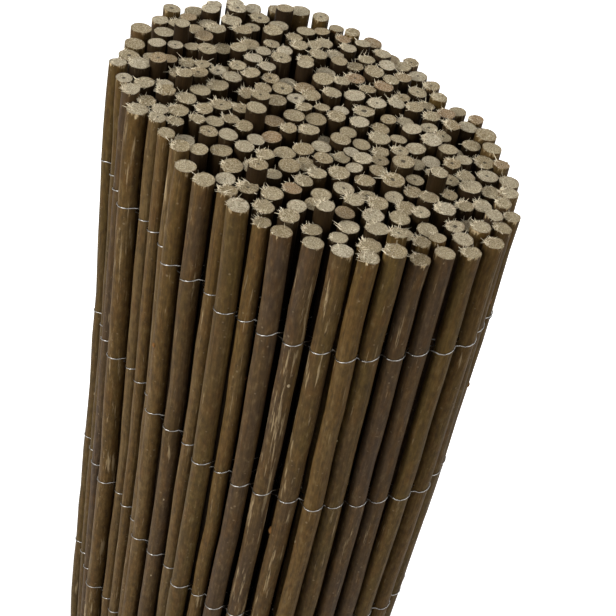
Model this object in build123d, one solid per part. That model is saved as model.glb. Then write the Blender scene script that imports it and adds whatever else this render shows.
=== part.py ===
from build123d import *
from collections import namedtuple
import math
import os
import random

# A willow screening mat, rolled up and standing on its end. Straight willow rods lie side by side
# and rows of thin wire, twisted round each rod in turn, bind them into one long mat. The mat is
# wound up into an oval roll: each rod settles against the turn inside it, often between two rods
# there, so that the turns hold together as one ridged wall with a narrow gap beside each rod.
# Frame: the origin is on the floor under the middle of the roll, +Z runs up along the rods and
# +X along the long axis of the oval. Sizes are in millimetres and angles in degrees.

# Rods
mat_height = 1000.0        # usual length of a rod
rod_count = 281
rod_diameter = 9.6         # usual thickness of a rod
diameter_spread = 1.5      # most that a rod is thicker or thinner than that
rod_sides = 7              # flats round a rod
cut_unevenness = 1.8       # most that a rod ends above or below the usual length
slipped_unevenness = 9.0   # the same for the few rods that have slipped in their wires
slipped_share = 0.08       # share of the rods that have slipped

# Wires
wire_thickness = 0.8
wire_spacing = 100.0       # from one row of wire to the next
top_margin = 55.0          # from the usual rod end down to the first row
foot_margin = 40.0         # least distance from the floor up to the last row
wire_fit = 0.25            # clearance between a wire and the rods that it lies on

# Roll
weave_gap = 3 * wire_thickness     # usual room that the wires take up between two rods
weave_gap_spread = 1.2             # most that this room is wider or narrower
core_width = 74.0          # the first rods lie flat over this width, which makes the roll oval
rod_press = 0.3            # how deep a rod presses into the one that it settles against
sharpest_bend = 75.0       # most that the mat bends from one rod to the next
bend_step = 1.0            # fineness of the search for the bend at which a rod settles

# Seeds of the uneven sizes, one for each kind, so that a change of one leaves the others alone
thickness_seed = 96
weave_seed = 196
cut_seed = 7

# leans is the direction in which a rod presses against the rod that it settled on
Rod = namedtuple("Rod", "x y radius leans")


def rod_radii():
    """Radii of the rods, in their order along the mat."""
    draw = random.Random(thickness_seed)
    return [(rod_diameter + diameter_spread * draw.uniform(-1, 1)) / 2 for _ in range(rod_count)]


def rod_tops():
    """Heights of the rods' cut ends above the floor."""
    draw = random.Random(cut_seed)
    tops = []
    for _ in range(rod_count):
        reach = slipped_unevenness if draw.random() < slipped_share else cut_unevenness
        tops.append(mat_height + reach * draw.uniform(-1, 1))
    return tops


def room_between(x, y, radius, rod):
    """Room between a rod at (x, y) and another rod, below zero where they press together."""
    return math.dist((x, y), (rod.x, rod.y)) - radius - rod.radius


def settle(rods, radius, gap, heading, bend):
    """Place of the next rod, a gap on from the last: bent in as far as the rods already wound allow."""
    last = rods[-1]
    reach = last.radius + gap + radius
    near = [rod for rod in rods[:-1] if room_between(last.x, last.y, reach + radius, rod) < rod_diameter]
    while True:
        turn = math.radians(heading + bend)
        x = last.x + reach * math.cos(turn)
        y = last.y + reach * math.sin(turn)
        if bend <= -sharpest_bend or all(room_between(x, y, radius, rod) >= -rod_press for rod in near):
            break
        bend -= bend_step
    support = min(near + [last], key=lambda rod: room_between(x, y, radius, rod))
    leans = math.atan2(support.y - y, support.x - x)
    held = room_between(x, y, radius, support) < -rod_press / 4
    return Rod(x, y, radius, leans), bend, held


def roll_up(radii):
    """The wound rods: a flat core and its fold, drawn tight, then rods that settle on the roll.

    A rod that reaches no other rod to press against is drawn tight against the one before it.
    """
    draw = random.Random(weave_seed)
    rods = [Rod(-core_width / 2, 0.0, radii[0], 0.0)]
    heading = 0.0
    laid = 0.0
    for radius in radii[1:]:
        gap = weave_gap + weave_gap_spread * draw.uniform(-1, 1)
        first_bend = 0.0 if laid < core_width else sharpest_bend
        folded = heading >= 180
        rod, bend, held = settle(rods, radius, gap if folded else -rod_press, heading, first_bend)
        if not held:
            rod, bend, held = settle(rods, radius, -rod_press, heading, first_bend)
        laid += math.dist((rod.x, rod.y), (rods[-1].x, rods[-1].y))
        heading += bend
        rods.append(rod)
    return rods


def rod_corners(rod):
    """Corners of a rod's flat-sided section, as large as the round one, with one where it leans."""
    step = 2 * math.pi / rod_sides
    reach = rod.radius * math.sqrt(step / math.sin(step))
    turns = [rod.leans + step * side for side in range(rod_sides)]
    return [(rod.x + reach * math.cos(turn), rod.y + reach * math.sin(turn)) for turn in turns]


def middle(points):
    """Middle of the box round the points."""
    xs, ys = zip(*points)
    return (min(xs) + max(xs)) / 2, (min(ys) + max(ys)) / 2


def taut_line(points):
    """Corners of the shortest closed line round the points, counterclockwise."""
    ordered = sorted(points)
    corners = []
    for sweep in (ordered, ordered[::-1]):
        half = []
        for x, y in sweep:
            while len(half) > 1:
                (x0, y0), (x1, y1) = half[-2:]
                if (x1 - x0) * (y - y0) > (y1 - y0) * (x - x0):
                    break
                half.pop()
            half.append((x, y))
        corners += half[:-1]
    return corners


def rod_mat(sections, tops):
    """The wound mat: each rod pulled up to its own height and joined to those that it presses on."""
    bars = [extrude(section, top).solid() for section, top in zip(sections, tops)]
    return bars[0].fuse(*bars[1:])


def wire_hoop(line, end):
    """Outer run of one wire: taut round the outer rods, open where the mat's free end lifts off."""
    around = make_face(Polyline(*line, close=True))
    inner = offset(around, wire_fit, kind=Kind.INTERSECTION)
    outer = offset(around, wire_fit + wire_thickness, kind=Kind.INTERSECTION)
    end_reach = math.hypot(end.x, end.y)
    end_turn = math.atan2(end.y, end.x)
    open_from = end_turn + math.asin(end.radius / end_reach)
    open_to = end_turn + math.acos((end_reach - rod_diameter) / end_reach)
    beyond = 2 * end_reach
    tips = [(beyond * math.cos(turn), beyond * math.sin(turn)) for turn in (open_from, open_to)]
    opening = make_face(Polyline((0, 0), *tips, close=True))
    return extrude(outer - inner - opening, wire_thickness)


wound = roll_up(rod_radii())
middle_x, middle_y = middle([corner for rod in wound for corner in rod_corners(rod)])
rods = [rod._replace(x=rod.x - middle_x, y=rod.y - middle_y) for rod in wound]
outlines = [rod_corners(rod) for rod in rods]
os.makedirs("parts", exist_ok=True)

sections = [make_face(Polyline(*outline, close=True)) for outline in outlines]
export_step(rod_mat(sections, rod_tops()), "parts/rod_mat.step")

hoop = wire_hoop(taut_line([corner for outline in outlines for corner in outline]), rods[-1])
row_count = int((mat_height - top_margin - foot_margin) // wire_spacing) + 1
for row in range(row_count):
    level = mat_height - top_margin - row * wire_spacing
    export_step(Pos(0, 0, level) * hoop, f"parts/binding_wire_{row + 1:02d}.step")
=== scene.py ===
import math
import random
from collections import namedtuple

import bmesh
import bpy
from mathutils import Matrix, Vector, noise


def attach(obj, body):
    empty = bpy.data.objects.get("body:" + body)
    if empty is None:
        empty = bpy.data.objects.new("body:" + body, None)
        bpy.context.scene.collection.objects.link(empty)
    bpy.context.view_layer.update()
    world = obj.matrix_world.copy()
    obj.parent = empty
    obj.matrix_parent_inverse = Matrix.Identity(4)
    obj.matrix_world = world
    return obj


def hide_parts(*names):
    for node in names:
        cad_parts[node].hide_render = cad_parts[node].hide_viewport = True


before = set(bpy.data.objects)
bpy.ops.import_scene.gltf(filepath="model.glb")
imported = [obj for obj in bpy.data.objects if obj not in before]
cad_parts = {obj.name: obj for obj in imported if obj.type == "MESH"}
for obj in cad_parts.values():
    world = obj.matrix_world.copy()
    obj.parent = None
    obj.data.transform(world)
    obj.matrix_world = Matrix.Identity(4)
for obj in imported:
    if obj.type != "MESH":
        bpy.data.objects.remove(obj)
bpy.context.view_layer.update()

# A willow screening mat, rolled up and standing on its end. The rods are wound by the same rule as in the
# part's source, then get what wood has: a little sway, uneven bark, and sawn ends with torn fibres. Each row
# of wire is two strands, twisted round one rod after the other. Sizes are in metres and angles in degrees,
# and colours are linear.

# Mat, as in the part's source
mat_height = 1.0           # usual length of a rod
rod_count = 281
rod_diameter = 0.0096      # usual thickness of a rod
diameter_spread = 0.0015   # most that a rod is thicker or thinner than that
rod_sides = 7              # flats round a rod of the source
cut_unevenness = 0.0018    # most that a rod ends above or below the usual length
slipped_unevenness = 0.009  # the same for the few rods that have slipped in their wires
slipped_share = 0.08       # share of the rods that have slipped
row_count = 10             # rows of wire
wire_spacing = 0.1         # from one row of wire to the next
top_margin = 0.055         # from the usual rod end down to the first row
weave_gap = 0.0024         # usual room that the wires take up between two rods
weave_gap_spread = 0.0012  # most that this room is wider or narrower
core_width = 0.074         # the first rods lie flat over this width
rod_press = 0.0003         # how deep a rod presses into the one that it settles against
sharpest_bend = 75.0       # most that the mat bends from one rod to the next
bend_step = 1.0            # fineness of the search for the bend at which a rod settles
thickness_seed = 96
weave_seed = 196
cut_seed = 7

# Rods as they grew
bark_fit = 0.955           # rods only touch, so they are this much thinner than the source's pressed ones
sway_reach = 0.0016        # most that neighbouring rods lean out of line together
sway_width = 0.12          # how far apart rods still lean alike
sway_length = 0.32         # how far along a rod its lean stays alike
bow_reach = 0.0010         # most that a rod bows by itself
bow_length = 0.06
kink_reach = 0.0006        # most that it is crooked over a short way
kink_length = 0.035
loose_lean = 0.0012        # most that a rod leans over above the top wire
taper_reach = 0.06         # most that one end is thicker, as a share
lump_reach = 0.06          # most that a rod is thicker in places, as a share
lump_length = 0.025
pith_share = 0.25          # share of the rods that show their pith
pith_reach = (0.08, 0.22)  # least and most reach of a pith, as shares of the radius
no_pith = -0.5             # reach that stands for none
worn_share = 0.15          # share of the rods that are rubbed over most of their length
worn_range = (0.6, 1.0)    # least and most wear of those
usual_wear = (0.0, 0.4)    # the same for the others
look_seed = 31

# Knots
outer_knots = 7            # most knots on a rod of the outer turn
second_knots = 3           # the same on the turn inside it
rough_share = 0.3          # share of the knots that are rough, the others are bud scars
rough_size = (0.0015, 0.0026)
scar_size = (0.0005, 0.0011)
knot_levels = (0.03, 0.97)     # lowest and highest place of a knot
knot_width = 0.7           # width and height of a knot, as shares of its size along the rod
knot_height = 0.45
knot_depth = 0.97          # share of the radius at which a knot has its middle
knot_roughness = 0.35      # relief of a rough knot, as a share of its size
knot_grain = 0.0006

# Sawn ends
cut_reaches = (1.0, 0.9, 0.68, 0.42, 0.18)     # rings of a sawn end, as shares of the radius
cut_slant = 0.0004         # most that an end is cut aslant
cut_grain = 5.3            # fineness of the relief
cut_relief = 0.0002        # relief of a clean cut
torn_relief = 0.0008       # what tearing adds to that at the edge
fray_usual = 0.28          # share of fibres torn in the middle of the roll
fray_fade = 0.4            # way through the roll over which that share grows by one
fray_patch = 0.04          # size of the patches that are torn more or less
fray_unevenness = 0.5
fray_spread = 0.45         # most that one rod is torn more or less than those round it
most_fibres = 50           # fibres on a wholly torn end
fibre_reach = (0.6, 1.0)   # where a fibre can start, as shares of the radius
fibre_length = (0.0007, 0.0028)
fibre_thickness = (0.00010, 0.00024)   # radius at its foot
fibre_tip = 0.25           # radius at its tip, as a share of that
fibre_rise = 0.4           # share of its length at which its middle stands off the wood
fibre_outward = (-0.2, 1.0)    # how far it heads out of the rod and up, and strays from that
fibre_upward = (-0.1, 0.8)
fibre_stray = 0.45
long_share = 0.05          # share of the fibres that are longer
long_factor = 2.0
burr_direction = math.radians(228)     # side of each rod on which the saw left fibres
burr_spread = 0.9
saw_way = Vector((0.76, -0.65))        # way that the saw went through the roll: it tore more as it came out

# Wires
wire_radius = 0.00026
twist_rise = 0.0014        # height of a strand above or below its row where it passes between two rods
twist_range = (0.5, 1.5)   # shares of that height, from one place to the next
row_drift = 0.0012         # most that a row wanders up or down along the mat
drift_rods = 5             # rods over which it wanders
inner_turns = (-55, 0, 55)                         # places of a strand round a rod, where it can't be seen
outer_turns = (-82, -55, -28, 0, 28, 55, 82)       # the same on the outer turn
end_turns = (110, 140, 170, 200)                   # and how it goes on round the last rod
wire_seed = 58

# Bark: its browns along the range of tints, then what lies over them
bark_browns = (
    (0.0, (0.059, 0.036, 0.019, 1)),
    (0.3, (0.076, 0.044, 0.015, 1)),
    (0.55, (0.082, 0.050, 0.012, 1)),
    (0.78, (0.094, 0.052, 0.013, 1)),
    (1.0, (0.112, 0.069, 0.024, 1)),
)
stain_brown = (0.098, 0.047, 0.012, 1)
groove_brown = (0.016, 0.010, 0.005, 1)
dark_mottle = (0.014, 0.009, 0.005, 1)
pale_mottle = (0.16, 0.115, 0.055, 1)
rubbed_bark = (0.30, 0.22, 0.12, 1)
chipped_bark = (0.42, 0.32, 0.18, 1)
pale_pore = (0.24, 0.18, 0.11, 1)
bud_scar = (0.32, 0.25, 0.15, 1)
rough_knot = (0.17, 0.075, 0.022, 1)
painted_inner_shade = (0.010, 0.005, 0.0015, 1)     # painted shade: rods inside the roll get near-black bark, standing in for the shade in the gaps

# Sawn wood: its tones, then what marks it
wood_tones = (
    (0.0, (0.33, 0.20, 0.095, 1)),
    (0.08, (0.33, 0.25, 0.13, 1)),
    (0.6, (0.41, 0.335, 0.20, 1)),
    (1.0, (0.55, 0.475, 0.335, 1)),
)
dark_fleck = (0.15, 0.105, 0.05, 1)
# painted shade in the hollows of the sawn end's fine relief
fibre_hollow_painted_shade = (0.13, 0.09, 0.04, 1)
# painted glint on the raised fibres of the sawn end's fine relief
fibre_painted_glint = (0.82, 0.75, 0.58, 1)
soft_pith = (0.035, 0.022, 0.012, 1)
bark_rim = (0.13, 0.085, 0.045, 1)
torn_shade = (0.55, 0.46, 0.30, 1)
torn_light = (0.80, 0.72, 0.55, 1)

# Galvanised wire
dark_zinc = (0.16, 0.153, 0.142, 1)
pale_zinc = (0.32, 0.31, 0.29, 1)
dull_spot = (0.14, 0.13, 0.115, 1)

# Stage: each lamp's name, place, size and power, then the camera
lamps = (
    ("key", (-0.25, -1.4, 1.45), 0.8, 31),
    ("fill", (1.4, -0.1, 1.5), 1.2, 14),
    ("sky", (-0.2, 0.2, 2.7), 1.2, 7.5),
    ("back", (-0.9, 1.3, 1.5), 1.0, 16),
)
lamp_aim = Vector((0, 0, 0.85))
ambient_light = 0.1
floor_reach = 6
floor_pale = (0.85, 0.85, 0.85, 1)
shadow_reach = 0.15        # the floor keeps its shadows up to this far from the roll's middle
white_reach = 0.9          # and is plain white to the eye from here on
camera_place = (0.4054, -0.3499, 1.3397)
camera_turn = (47.6, 40.4, 11.8)       # azimuth, dip and roll
camera_sensor = 36
camera_lens = 78.37

outer_from = rod_count - 58            # first rod of the outer turn
second_from = outer_from - 52          # first rod of the turn inside it
top_level = mat_height - top_margin
usual_radius = rod_diameter / 2

Rod = namedtuple("Rod", "x y radius leans")
Stem = namedtuple("Stem", "x y radius top phase taper lean tint tone pith wear shade fray slant shift")


def rod_radii():
    """Radii of the rods, in their order along the mat."""
    draw = random.Random(thickness_seed)
    return [(rod_diameter + diameter_spread * draw.uniform(-1, 1)) / 2 for _ in range(rod_count)]


def rod_tops():
    """Heights of the rods' cut ends above the floor."""
    draw = random.Random(cut_seed)
    tops = []
    for _ in range(rod_count):
        reach = slipped_unevenness if draw.random() < slipped_share else cut_unevenness
        tops.append(mat_height + reach * draw.uniform(-1, 1))
    return tops


def room_between(x, y, radius, rod):
    """Room between a rod at (x, y) and another rod, below zero where they press together."""
    return math.dist((x, y), (rod.x, rod.y)) - radius - rod.radius


def settle(rods, radius, gap, heading, bend):
    """Place of the next rod, a gap on from the last: bent in as far as the rods already wound allow."""
    last = rods[-1]
    reach = last.radius + gap + radius
    near = [rod for rod in rods[:-1] if room_between(last.x, last.y, reach + radius, rod) < rod_diameter]
    while True:
        turn = math.radians(heading + bend)
        x = last.x + reach * math.cos(turn)
        y = last.y + reach * math.sin(turn)
        if bend <= -sharpest_bend or all(room_between(x, y, radius, rod) >= -rod_press for rod in near):
            break
        bend -= bend_step
    support = min(near + [last], key=lambda rod: room_between(x, y, radius, rod))
    leans = math.atan2(support.y - y, support.x - x)
    held = room_between(x, y, radius, support) < -rod_press / 4
    return Rod(x, y, radius, leans), bend, held


def roll_up(radii):
    """The wound rods: a flat core and its fold, drawn tight, then rods that settle on the roll."""
    draw = random.Random(weave_seed)
    rods = [Rod(-core_width / 2, 0.0, radii[0], 0.0)]
    heading = 0.0
    laid = 0.0
    for radius in radii[1:]:
        gap = weave_gap + weave_gap_spread * draw.uniform(-1, 1)
        first_bend = 0.0 if laid < core_width else sharpest_bend
        folded = heading >= 180
        rod, bend, held = settle(rods, radius, gap if folded else -rod_press, heading, first_bend)
        if not held:
            rod, bend, held = settle(rods, radius, -rod_press, heading, first_bend)
        laid += math.dist((rod.x, rod.y), (rods[-1].x, rods[-1].y))
        heading += bend
        rods.append(rod)
    return rods


def roll_middle(rods):
    """Middle of the box round the source's flat-sided rods."""
    step = 2 * math.pi / rod_sides
    swell = math.sqrt(step / math.sin(step))
    corners = []
    for rod in rods:
        for side in range(rod_sides):
            turn = rod.leans + step * side
            reach = rod.radius * swell
            corners.append((rod.x + reach * math.cos(turn), rod.y + reach * math.sin(turn)))
    xs, ys = zip(*corners)
    return (min(xs) + max(xs)) / 2, (min(ys) + max(ys)) / 2


def grown_stems():
    """The wound rods with the look of each: taper, lean, colour of bark and cut, pith and torn fibres."""
    draw = random.Random(look_seed)
    rods = roll_up(rod_radii())
    middle_x, middle_y = roll_middle(rods)
    stems = []
    for index, (rod, top) in enumerate(zip(rods, rod_tops())):
        turn = draw.uniform(0, 2 * math.pi)
        place = Vector((rod.x - middle_x, rod.y - middle_y))
        patch = noise.noise(Vector((place.x / fray_patch, place.y / fray_patch, 0.5)))
        torn = fray_usual + place.dot(saw_way) / fray_fade + fray_unevenness * patch
        stems.append(Stem(
            x=place.x,
            y=place.y,
            radius=rod.radius * bark_fit,
            top=top,
            phase=draw.uniform(0, 2 * math.pi),
            taper=draw.uniform(-taper_reach, taper_reach),
            lean=Vector((math.cos(turn), math.sin(turn))) * loose_lean * draw.random(),
            tint=draw.random(),
            tone=draw.random(),
            pith=draw.uniform(*pith_reach) if draw.random() < pith_share else no_pith,
            wear=draw.uniform(*worn_range) if draw.random() < worn_share else draw.uniform(*usual_wear),
            # painted shade: rods inside the outer turn are marked for near-black bark
            shade=0.0 if index >= outer_from else 1.0,
            fray=min(1.0, max(0.0, torn + draw.uniform(-fray_spread, fray_spread))),
            slant=Vector((draw.uniform(-1, 1), draw.uniform(-1, 1))) * cut_slant,
            shift=draw.uniform(-900, 900),
        ))
    return stems


def stem_axis(stem, z):
    """Middle of a rod at a height."""
    sway = noise.noise_vector(Vector((stem.x / sway_width, stem.y / sway_width, z / sway_length)))
    loose = max(0.0, z - top_level) / top_margin
    bow = bow_reach * math.sin(z / bow_length + stem.phase)
    kink = noise.noise_vector(Vector((stem.shift, stem.phase, z / kink_length)))
    x = stem.x + sway_reach * sway.x + bow * math.cos(stem.phase)
    y = stem.y + sway_reach * sway.y + bow * math.sin(stem.phase)
    x = x + kink_reach * kink.x + stem.lean.x * loose * loose
    y = y + kink_reach * kink.y + stem.lean.y * loose * loose
    return Vector((x, y, z))


def stem_girth(stem, z):
    """Radius of a rod at a height."""
    return stem.radius * (1 + stem.taper * (z / mat_height - 0.5))


def pulled_ring(bm, ring, move, grow):
    """Pulls a new ring of edges out of a ring: moved up by a length and grown about the axis."""
    pulled = bmesh.ops.extrude_edge_only(bm, edges=ring)["geom"]
    verts = [item for item in pulled if isinstance(item, bmesh.types.BMVert)]
    bmesh.ops.translate(bm, verts=verts, vec=(0, 0, move))
    bmesh.ops.scale(bm, verts=verts, vec=(grow, grow, 1))
    new = set(verts)
    return [item for item in pulled if isinstance(item, bmesh.types.BMEdge) and set(item.verts) <= new]


def sorting_place(spot):
    """A number of its own for each place on the unit rod, to keep its parts in the same order each run."""
    return 10000 * spot.z + 100 * spot.xy.length + math.atan2(spot.y, spot.x)


def rod_pattern(sides, steps):
    """A rod of unit radius and height: rings at even steps, then the rings of its sawn end."""
    lifts = [step / steps for step in range(steps + 1)]
    bm = bmesh.new()
    bmesh.ops.create_circle(bm, cap_ends=False, segments=sides, radius=1)
    ring = bm.edges[:]
    bmesh.ops.edgeloop_fill(bm, edges=ring)
    for lower, upper in zip(lifts, lifts[1:]):
        ring = pulled_ring(bm, ring, upper - lower, 1)
    for edge in ring:
        edge.smooth = False
    for outer, inner in zip(cut_reaches, cut_reaches[1:]):
        ring = pulled_ring(bm, ring, 0, inner / outer)
    bmesh.ops.edgeloop_fill(bm, edges=ring)
    lids = [face for face in bm.faces if len(face.verts) == sides]
    bmesh.ops.poke(bm, faces=[lid for lid in lids if lid.calc_center_median().z > 0.5])
    bmesh.ops.recalc_face_normals(bm, faces=bm.faces[:])
    bm.verts.sort(key=lambda vert: sorting_place(vert.co))
    bm.faces.sort(key=lambda face: sorting_place(face.calc_center_median()))
    for face in bm.faces:
        heights = [vert.co.z for vert in face.verts]
        face.material_index = 1 if max(heights) - min(heights) < 1e-6 else 0
        face.smooth = True
    for name in ("bark_tint", "cut_tone", "pith", "wear", "shade", "knot", "below_cut"):
        bm.verts.layers.float.new(name)
    bm.verts.layers.float_vector.new("rod_place")
    return bm


def mark_verts(bm, verts, stem, place, knot):
    """Notes on the verts what the materials read: the rod's looks and the place on the rod."""
    layers = bm.verts.layers
    for vert, spot in zip(verts, place):
        vert[layers.float["bark_tint"]] = stem.tint
        vert[layers.float["cut_tone"]] = stem.tone
        vert[layers.float["pith"]] = stem.pith
        vert[layers.float["wear"]] = stem.wear
        vert[layers.float["shade"]] = stem.shade
        vert[layers.float["below_cut"]] = (stem.top - vert.co.z) / usual_radius
        vert[layers.float["knot"]] = knot
        vert[layers.float_vector["rod_place"]] = spot


def shape_rod(bm, stem):
    """Gives the unit rod the place, sway, bark and sawn end of one rod."""
    spots = []
    for vert in bm.verts:
        unit = vert.co.copy()
        z = unit.z * stem.top
        spots.append(Vector((unit.x, unit.y, z / usual_radius + stem.shift)))
        lump = noise.noise(Vector((unit.x, unit.y, z / lump_length + stem.shift)))
        girth = stem_girth(stem, z) * (1 + lump_reach * lump)
        middle = stem_axis(stem, z)
        lift = 0.0
        if unit.z > 0.9999:
            grain = noise.noise(Vector((unit.x * cut_grain, unit.y * cut_grain, stem.shift)))
            edge = unit.xy.length
            lift = stem.slant.dot(unit.xy) + (cut_relief + torn_relief * stem.fray * edge) * grain
        vert.co = middle + Vector((unit.x * girth, unit.y * girth, lift))
    mark_verts(bm, bm.verts[:], stem, spots, 0.0)


def add_knot(bm, stem, draw):
    """A lens half sunk in the bark: a small pale bud scar, or a larger rough knot where a twig was."""
    rough = draw.random() < rough_share
    size = draw.uniform(*rough_size) if rough else draw.uniform(*scar_size)
    turn = draw.uniform(0, 2 * math.pi)
    z = draw.uniform(*knot_levels)
    out = Vector((math.cos(turn), math.sin(turn), 0))
    middle = stem_axis(stem, z) + out * stem_girth(stem, z) * knot_depth
    stand = Matrix.Translation(middle) @ out.to_track_quat("Z", "Y").to_matrix().to_4x4()
    shape = stand @ Matrix.Diagonal((size * knot_width, size, size * knot_height, 1))
    verts = bmesh.ops.create_icosphere(bm, subdivisions=2, radius=1, matrix=shape)["verts"]
    if rough:
        for vert in verts:
            vert.co += out * size * knot_roughness * noise.noise(vert.co / knot_grain)
    spots = [Vector((out.x, out.y, vert.co.z / usual_radius + stem.shift)) for vert in verts]
    mark_verts(bm, verts, stem, spots, -1.0 if rough else 1.0)
    for face in {face for vert in verts for face in vert.link_faces}:
        face.smooth = True


def add_fibres(bm, stem, draw):
    """The fibres that the saw left standing round a sawn end, most of them on one side."""
    end = stem_axis(stem, stem.top)
    for _ in range(int(stem.fray * most_fibres)):
        turn = burr_direction + draw.gauss(0, burr_spread)
        out = Vector((math.cos(turn), math.sin(turn), 0))
        root = end + out * stem_girth(stem, stem.top) * draw.uniform(*fibre_reach)
        heads = out * draw.uniform(*fibre_outward)
        heads += Vector((draw.gauss(0, fibre_stray), draw.gauss(0, fibre_stray), draw.uniform(*fibre_upward)))
        length = draw.uniform(*fibre_length) * (long_factor if draw.random() < long_share else 1.0)
        stand = Matrix.Translation(root) @ heads.to_track_quat("Z", "Y").to_matrix().to_4x4()
        stand = stand @ Matrix.Translation((0, 0, length * fibre_rise))
        thickness = draw.uniform(*fibre_thickness)
        fibre = bmesh.ops.create_cone(bm, cap_ends=True, segments=3, radius1=thickness,
                                      radius2=thickness * fibre_tip, depth=length, matrix=stand)
        for face in {face for vert in fibre["verts"] for face in vert.link_faces}:
            face.material_index = 2


def new_piece(name, bm, *materials):
    """A piece of the mat as an object, with its place in its mesh."""
    mesh = bpy.data.meshes.new(name)
    bm.to_mesh(mesh)
    bm.free()
    for material in materials:
        mesh.materials.append(material)
    piece = bpy.data.objects.new(name, mesh)
    bpy.context.scene.collection.objects.link(piece)
    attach(piece, "root")
    return piece


def rod_piece(name, stems, pattern, knots, *materials):
    """Some of the rods as one piece, each shaped from a copy of the unit rod."""
    draw = random.Random(name)
    bm = bmesh.new()
    stage_mesh = bpy.data.meshes.new("one_rod")
    for stem in stems:
        rod = pattern.copy()
        shape_rod(rod, stem)
        for _ in range(draw.randint(0, knots)):
            add_knot(rod, stem, draw)
        add_fibres(rod, stem, draw)
        rod.to_mesh(stage_mesh)
        rod.free()
        bm.from_mesh(stage_mesh)
    bpy.data.meshes.remove(stage_mesh)
    pattern.free()
    piece = new_piece(name, bm, *materials)
    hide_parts("rod_mat")


def strand_points(stems, level, strand, draw, turns, last_turns):
    """Points of one strand of a row: outside one rod, between the rods, inside the next, and so on.

    It lies at the turns round each rod, and on the last one at the last turns too.
    """
    middles = [stem_axis(stem, level) for stem in stems]
    points = []
    before = twist_rise
    for index, middle in enumerate(middles):
        last = index == len(middles) - 1
        ahead = middles[index if last else index + 1] - middles[max(index - 1, 0)]
        along = Vector((ahead.x, ahead.y, 0)).normalized()
        out = Vector((along.y, -along.x, 0))
        outside = (index + strand) % 2 == 0
        side = out if outside else -out
        after = twist_rise * draw.uniform(*twist_range)
        start, end = (-before, after) if outside else (before, -after)
        drift = row_drift * noise.noise(Vector((index / drift_rods, level * 37, 0)))
        reach = stem_girth(stems[index], level) + wire_radius * 1.05
        for turn in turns + last_turns if last else turns:
            share = 0.5 + 0.5 * math.sin(math.radians(min(turn, 90)))
            lift = Vector((0, 0, drift + start + (end - start) * share))
            round_rod = side * math.cos(math.radians(turn)) + along * math.sin(math.radians(turn))
            points.append(middle + reach * round_rod + lift)
        before = after
    return points


def wire_row(row, stems, material):
    """One row of wire: two strands that twist round each other between one rod and the next."""
    draw = random.Random(wire_seed + row)
    level = top_level - row * wire_spacing
    bm = bmesh.new()
    inner_run = (stems[:outer_from + 1], inner_turns, (), 0)
    outer_run = (stems[outer_from:], outer_turns, end_turns, 1)
    for stretch, turns, last_turns, roundness in (inner_run, outer_run):
        curve = bpy.data.curves.new("strand", "CURVE")
        curve.dimensions = "3D"
        curve.bevel_depth = wire_radius
        curve.bevel_resolution = roundness
        curve.use_fill_caps = True
        for strand in range(2):
            points = strand_points(stretch, level, strand, draw, turns, last_turns)
            spline = curve.splines.new("POLY")
            spline.points.add(len(points) - 1)
            for point, place in zip(spline.points, points):
                point.co = (*place, 1)
        holder = bpy.data.objects.new("strand", curve)
        mesh = bpy.data.meshes.new_from_object(holder)
        bm.from_mesh(mesh)
        bpy.data.objects.remove(holder)
        bpy.data.curves.remove(curve)
        bpy.data.meshes.remove(mesh)
    for face in bm.faces:
        face.smooth = True
    node = f"binding_wire_{row + 1:02d}"
    piece = new_piece(f"wire_row_{row + 1:02d}", bm, material)
    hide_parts(node)


def add_node(tree, kind, **settings):
    """A shader node with its settings."""
    node = tree.nodes.new(kind)
    for name, value in settings.items():
        setattr(node, name, value)
    return node


def set_or_link(tree, socket, source):
    """Fills one input: a socket is linked, anything else is set."""
    if isinstance(source, bpy.types.NodeSocket):
        tree.links.new(source, socket)
    else:
        socket.default_value = source


def feed(tree, node, **sources):
    """Fills a node's inputs, by name with _ for a space."""
    for name, source in sources.items():
        set_or_link(tree, node.inputs[name.replace("_", " ")], source)
    return node


def blend_colour(tree, share, low, high):
    """Colour between two colours by a share."""
    node = add_node(tree, "ShaderNodeMix", data_type="RGBA", blend_type="MIX")
    set_or_link(tree, node.inputs[0], share)
    set_or_link(tree, node.inputs[6], low)
    set_or_link(tree, node.inputs[7], high)
    return node.outputs[2]


def ranged(tree, value, low, high, to_low=0.0, to_high=1.0):
    """Value spread from one range to another and held within it."""
    node = add_node(tree, "ShaderNodeMapRange")
    feed(tree, node, Value=value, From_Min=low, From_Max=high, To_Min=to_low, To_Max=to_high)
    return node.outputs["Result"]


def figured(tree, operation, *values):
    """Result of a sum on values."""
    node = add_node(tree, "ShaderNodeMath", operation=operation)
    for socket, value in zip(node.inputs, values):
        set_or_link(tree, socket, value)
    return node.outputs[0]


def scaled(tree, value, factor):
    """Value times a factor."""
    return figured(tree, "MULTIPLY", value, factor)


def ramped(tree, value, colours):
    """Colour at a value along a range of colours."""
    ramp = add_node(tree, "ShaderNodeValToRGB")
    stops = ramp.color_ramp.elements
    for _ in colours[2:]:
        stops.new(0.5)
    for stop, (position, colour) in zip(stops, colours):
        stop.position = position
        stop.color = colour
    return feed(tree, ramp, Fac=value).outputs["Color"]


def roughen(tree, shader, height, strength, depth):
    """Gives a shader the small relief of a height."""
    bump = add_node(tree, "ShaderNodeBump")
    feed(tree, bump, Height=height, Strength=strength, Distance=depth)
    feed(tree, shader, Normal=bump.outputs["Normal"])


def noted(tree, name, output="Fac"):
    """What is noted on the piece's verts under a name."""
    return add_node(tree, "ShaderNodeAttribute", attribute_name=name).outputs[output]


def stretched_noise(tree, place, across, along, detail=3.0):
    """Noise on a place, with its own fineness across and along the rod."""
    spread = add_node(tree, "ShaderNodeMapping")
    feed(tree, spread, Vector=place, Scale=(across, across, along))
    grain = add_node(tree, "ShaderNodeTexNoise")
    feed(tree, grain, Vector=spread.outputs["Vector"], Scale=1.0, Detail=detail, Roughness=0.6)
    return grain.outputs["Fac"]


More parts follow.
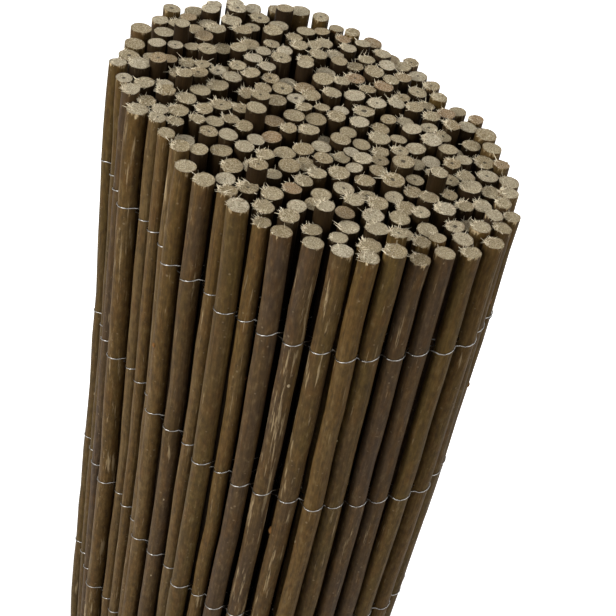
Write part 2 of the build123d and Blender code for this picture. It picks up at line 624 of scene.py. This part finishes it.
def new_group(name, inputs, outputs):
    """An empty node group with value sockets, except for inputs that end in Place, which are vectors."""
    group = bpy.data.node_groups.new(name, "ShaderNodeTree")
    for socket in inputs:
        kind = "NodeSocketVector" if socket.endswith("Place") else "NodeSocketFloat"
        group.interface.new_socket(name=socket, in_out="INPUT", socket_type=kind)
    for socket in outputs:
        group.interface.new_socket(name=socket, in_out="OUTPUT", socket_type="NodeSocketFloat")
    return group, group.nodes.new("NodeGroupInput").outputs, group.nodes.new("NodeGroupOutput").inputs


def fibre_group():
    """Long fibres of wood: fine streaks along the rod, broken up by slow patches."""
    group, given, result = new_group("Long fibres", ["Place", "Across", "Along"], ["Streak"])
    spread = add_node(group, "ShaderNodeCombineXYZ")
    feed(group, spread, X=given["Across"], Y=given["Across"], Z=given["Along"])
    placed = add_node(group, "ShaderNodeVectorMath", operation="MULTIPLY")
    group.links.new(given["Place"], placed.inputs[0])
    group.links.new(spread.outputs["Vector"], placed.inputs[1])
    grain = add_node(group, "ShaderNodeTexNoise")
    feed(group, grain, Vector=placed.outputs["Vector"], Scale=1.0, Detail=4.0, Roughness=0.65)
    group.links.new(ranged(group, grain.outputs["Fac"], 0.3, 0.7), result["Streak"])
    return group


def speck_group():
    """Small round specks strewn over a surface, more in some places than in others."""
    group, given, result = new_group("Specks", ["Place", "Fineness", "Amount"], ["Speck"])
    cells = add_node(group, "ShaderNodeTexVoronoi", feature="F1")
    feed(group, cells, Vector=given["Place"], Scale=given["Fineness"], Randomness=1.0)
    patch = add_node(group, "ShaderNodeTexNoise")
    feed(group, patch, Vector=given["Place"], Scale=0.35, Detail=1.0)
    reach = scaled(group, patch.outputs["Fac"], given["Amount"])
    near = figured(group, "SUBTRACT", reach, cells.outputs["Distance"])
    group.links.new(ranged(group, near, 0.0, 0.12), result["Speck"])
    return group


def placed_group(tree, group, **sources):
    """A node group placed in a material, with its inputs filled."""
    node = add_node(tree, "ShaderNodeGroup", node_tree=group)
    return feed(tree, node, **sources).outputs[0]


def new_material(name):
    """A material with a bare shader, and its node tree."""
    material = bpy.data.materials.new(name)
    material.use_nodes = True
    return material, material.node_tree, material.node_tree.nodes["Principled BSDF"]


def bark_material(fibres, specks):
    """Dry willow bark: olive, ochre and purple browns, streaked, with pores and rubbed places."""
    material, tree, shader = new_material("willow_bark")
    place = noted(tree, "rod_place", "Vector")
    tint = noted(tree, "bark_tint")
    streak = placed_group(tree, fibres, Place=place, Across=5.0, Along=0.12)
    patch = stretched_noise(tree, place, 0.5, 0.06, 2.0)
    drift = figured(tree, "ADD", tint, scaled(tree, figured(tree, "SUBTRACT", patch, 0.5), 0.9))
    colour = ramped(tree, drift, bark_browns)
    stain = ranged(tree, stretched_noise(tree, place, 0.9, 0.3, 4.0), 0.48, 0.68)
    colour = blend_colour(tree, scaled(tree, stain, 0.6), colour, stain_brown)
    colour = blend_colour(tree, ranged(tree, streak, 0.0, 1.0, 0.45, 0.0), colour, groove_brown)
    mottle = stretched_noise(tree, place, 2.4, 0.9, 5.0)
    colour = blend_colour(tree, ranged(tree, mottle, 0.3, 0.55, 0.55, 0.0), colour, dark_mottle)
    colour = blend_colour(tree, ranged(tree, mottle, 0.55, 0.75, 0.0, 0.35), colour, pale_mottle)
    scrape = stretched_noise(tree, place, 2.4, 0.2, 7.0)
    rubbed = figured(tree, "ADD", scrape, scaled(tree, noted(tree, "wear"), 0.12))
    rubbed = scaled(tree, ranged(tree, rubbed, 0.66, 0.73), ranged(tree, streak, 0.1, 0.6, 0.15, 0.75))
    colour = blend_colour(tree, rubbed, colour, rubbed_bark)
    chip = stretched_noise(tree, place, 2.2, 0.9, 3.0)
    chipped = figured(tree, "SUBTRACT", chip, scaled(tree, noted(tree, "below_cut"), 0.28))
    colour = blend_colour(tree, ranged(tree, chipped, 0.5, 0.64), colour, chipped_bark)
    speck = placed_group(tree, specks, Place=place, Fineness=1.1, Amount=0.27)
    colour = blend_colour(tree, scaled(tree, speck, 0.4), colour, pale_pore)
    knot = noted(tree, "knot")
    colour = blend_colour(tree, ranged(tree, knot, 0.0, 1.0, 0.0, 0.75), colour, bud_scar)
    colour = blend_colour(tree, ranged(tree, knot, -1.0, 0.0, 0.7, 0.0), colour, rough_knot)
    # painted shade: the bark of the rods inside the roll is darkened nearly to black, standing in for the
    # shade between the rods
    colour = blend_colour(tree, scaled(tree, noted(tree, "shade"), 0.88), colour, painted_inner_shade)
    dullness = ranged(tree, streak, 0.0, 1.0, 0.72, 0.52)
    feed(tree, shader, Base_Color=colour, Roughness=dullness, Specular_IOR_Level=0.07)
    ridge = figured(tree, "ADD", scaled(tree, streak, 0.6), scaled(tree, speck, 0.4))
    roughen(tree, shader, figured(tree, "ADD", ridge, mottle), 0.6, 0.0003)
    return material


def cut_material(fibres):
    """Sawn willow: pale, flecked wood with rough fibres, a dark line of bark round it and a small pith."""
    material, tree, shader = new_material("sawn_willow")
    place = noted(tree, "rod_place", "Vector")
    apart = feed(tree, add_node(tree, "ShaderNodeSeparateXYZ"), Vector=place)
    flat = add_node(tree, "ShaderNodeCombineXYZ")
    feed(tree, flat, X=apart.outputs["X"], Y=apart.outputs["Y"])
    wander = add_node(tree, "ShaderNodeTexNoise")
    feed(tree, wander, Vector=place, Scale=1.6, Detail=3.0)
    from_middle = add_node(tree, "ShaderNodeVectorMath", operation="LENGTH")
    tree.links.new(flat.outputs["Vector"], from_middle.inputs[0])
    offset = scaled(tree, figured(tree, "SUBTRACT", wander.outputs["Fac"], 0.5), 0.5)
    reach = figured(tree, "ADD", from_middle.outputs["Value"], offset)
    fleck = placed_group(tree, fibres, Place=place, Across=3.4, Along=3.4)
    fine = placed_group(tree, fibres, Place=place, Across=9.0, Along=9.0)
    wood = ramped(tree, noted(tree, "cut_tone"), wood_tones)
    wood = blend_colour(tree, ranged(tree, fleck, 0.0, 0.8, 0.6, 0.0), wood, dark_fleck)
    # painted shade: the fine fibres are darkened where the relief is lowest
    wood = blend_colour(tree, ranged(tree, fine, 0.05, 0.5, 0.8, 0.0), wood, fibre_hollow_painted_shade)
    # painted glint: the fine fibres are lightened where the relief stands highest
    wood = blend_colour(tree, ranged(tree, fine, 0.55, 0.95, 0.0, 0.75), wood, fibre_painted_glint)
    pith = ranged(tree, figured(tree, "SUBTRACT", noted(tree, "pith"), reach), -0.05, 0.05)
    wood = blend_colour(tree, scaled(tree, pith, 0.85), wood, soft_pith)
    rim = ranged(tree, reach, 0.86, 1.02)
    wood = blend_colour(tree, scaled(tree, rim, 0.6), wood, bark_rim)
    feed(tree, shader, Base_Color=wood, Roughness=0.85, Specular_IOR_Level=0.25)
    rough = figured(tree, "ADD", fleck, scaled(tree, fine, 0.6))
    roughen(tree, shader, figured(tree, "SUBTRACT", rough, pith), 0.8, 0.0005)
    return material


def fibre_material(fibres):
    """Torn wood fibre: pale and dull."""
    material, tree, shader = new_material("torn_fibre")
    spot = add_node(tree, "ShaderNodeTexCoord").outputs["Object"]
    streak = placed_group(tree, fibres, Place=spot, Across=900.0, Along=300.0)
    feed(tree, shader, Base_Color=blend_colour(tree, streak, torn_shade, torn_light), Roughness=0.8)
    return material


def wire_material(specks):
    """Galvanised wire: grey zinc with a soft shine and dull spots."""
    material, tree, shader = new_material("galvanised_wire")
    spot = add_node(tree, "ShaderNodeTexCoord").outputs["Object"]
    cloud = stretched_noise(tree, spot, 400.0, 400.0, 3.0)
    dull = placed_group(tree, specks, Place=spot, Fineness=900.0, Amount=0.7)
    zinc = blend_colour(tree, cloud, dark_zinc, pale_zinc)
    zinc = blend_colour(tree, scaled(tree, dull, 0.4), zinc, dull_spot)
    feed(tree, shader, Base_Color=zinc, Metallic=1.0, Roughness=ranged(tree, cloud, 0.3, 0.7, 0.2, 0.36))
    return material


def seen_share(tree):
    """1 for what the eye sees, also in a mirror or through glass, and 0 for light that falls on things."""
    path = add_node(tree, "ShaderNodeLightPath")
    seen = figured(tree, "ADD", path.outputs["Is Camera Ray"], path.outputs["Is Glossy Ray"])
    return figured(tree, "ADD", seen, path.outputs["Is Transmission Ray"])


def lay_floor():
    """Plain pale floor, which keeps the roll's shadow and turns white further off."""
    bm = bmesh.new()
    bmesh.ops.create_grid(bm, x_segments=1, y_segments=1, size=floor_reach)
    mesh = bpy.data.meshes.new("floor")
    bm.to_mesh(mesh)
    bm.free()
    floor = bpy.data.objects.new("floor", mesh)
    bpy.context.scene.collection.objects.link(floor)
    material, tree, shader = new_material("pale_floor")
    away = add_node(tree, "ShaderNodeVectorMath", operation="LENGTH")
    tree.links.new(add_node(tree, "ShaderNodeTexCoord").outputs["Object"], away.inputs[0])
    whiteness = ranged(tree, away.outputs["Value"], shadow_reach, white_reach)
    glow = scaled(tree, seen_share(tree), whiteness)
    feed(tree, shader, Base_Color=floor_pale, Roughness=0.9)
    feed(tree, shader, Emission_Color=(1, 1, 1, 1), Emission_Strength=glow)
    mesh.materials.append(material)


def set_light():
    """White surroundings that give little light, and soft lamps."""
    world = bpy.data.worlds.new("surroundings")
    world.use_nodes = True
    bpy.context.scene.world = world
    tree = world.node_tree
    strength = ranged(tree, seen_share(tree), 0.0, 1.0, ambient_light, 1.0)
    feed(tree, tree.nodes["Background"], Color=(1, 1, 1, 1), Strength=strength)
    for name, place, size, power in lamps:
        lamp = bpy.data.lights.new(name, "AREA")
        lamp.size = size
        lamp.energy = power
        holder = bpy.data.objects.new(name, lamp)
        holder.location = place
        holder.rotation_euler = (lamp_aim - Vector(place)).to_track_quat("-Z", "Y").to_euler()
        bpy.context.scene.collection.objects.link(holder)


def set_camera():
    """Camera at the photograph's view."""
    azimuth, dip, roll = (math.radians(angle) for angle in camera_turn)
    ahead = Vector((-math.sin(azimuth) * math.cos(dip), math.cos(azimuth) * math.cos(dip), -math.sin(dip)))
    right = Vector((math.cos(azimuth), math.sin(azimuth), 0))
    up = right.cross(ahead)
    turned_right = right * math.cos(roll) + up * math.sin(roll)
    turned_up = up * math.cos(roll) - right * math.sin(roll)
    stand = Matrix((turned_right, turned_up, -ahead)).transposed().to_4x4()
    camera = bpy.data.objects.new("camera", bpy.data.cameras.new("camera"))
    camera.data.sensor_width = camera_sensor
    camera.data.lens = camera_lens
    camera.data.clip_start = 0.01
    camera.matrix_world = Matrix.Translation(camera_place) @ stand
    bpy.context.scene.collection.objects.link(camera)
    bpy.context.scene.camera = camera
    bpy.context.scene.view_settings.view_transform = "Standard"


noise.seed_set(look_seed)      # else the noise of places is another one each run
stems = grown_stems()
fibres = fibre_group()
specks = speck_group()
willow = (bark_material(fibres, specks), cut_material(fibres), fibre_material(fibres))
zinc = wire_material(specks)

outer_pattern = rod_pattern(sides=18, steps=56)
second_pattern = rod_pattern(sides=16, steps=24)
inner_pattern = rod_pattern(sides=16, steps=8)
rod_piece("willow_rods_outer", stems[outer_from:], outer_pattern, outer_knots, *willow)
rod_piece("willow_rods_second", stems[second_from:outer_from], second_pattern, second_knots, *willow)
rod_piece("willow_rods_inner", stems[:second_from], inner_pattern, 0, *willow)
for row in range(row_count):
    wire_row(row, stems, zinc)
lay_floor()
set_light()
set_camera()
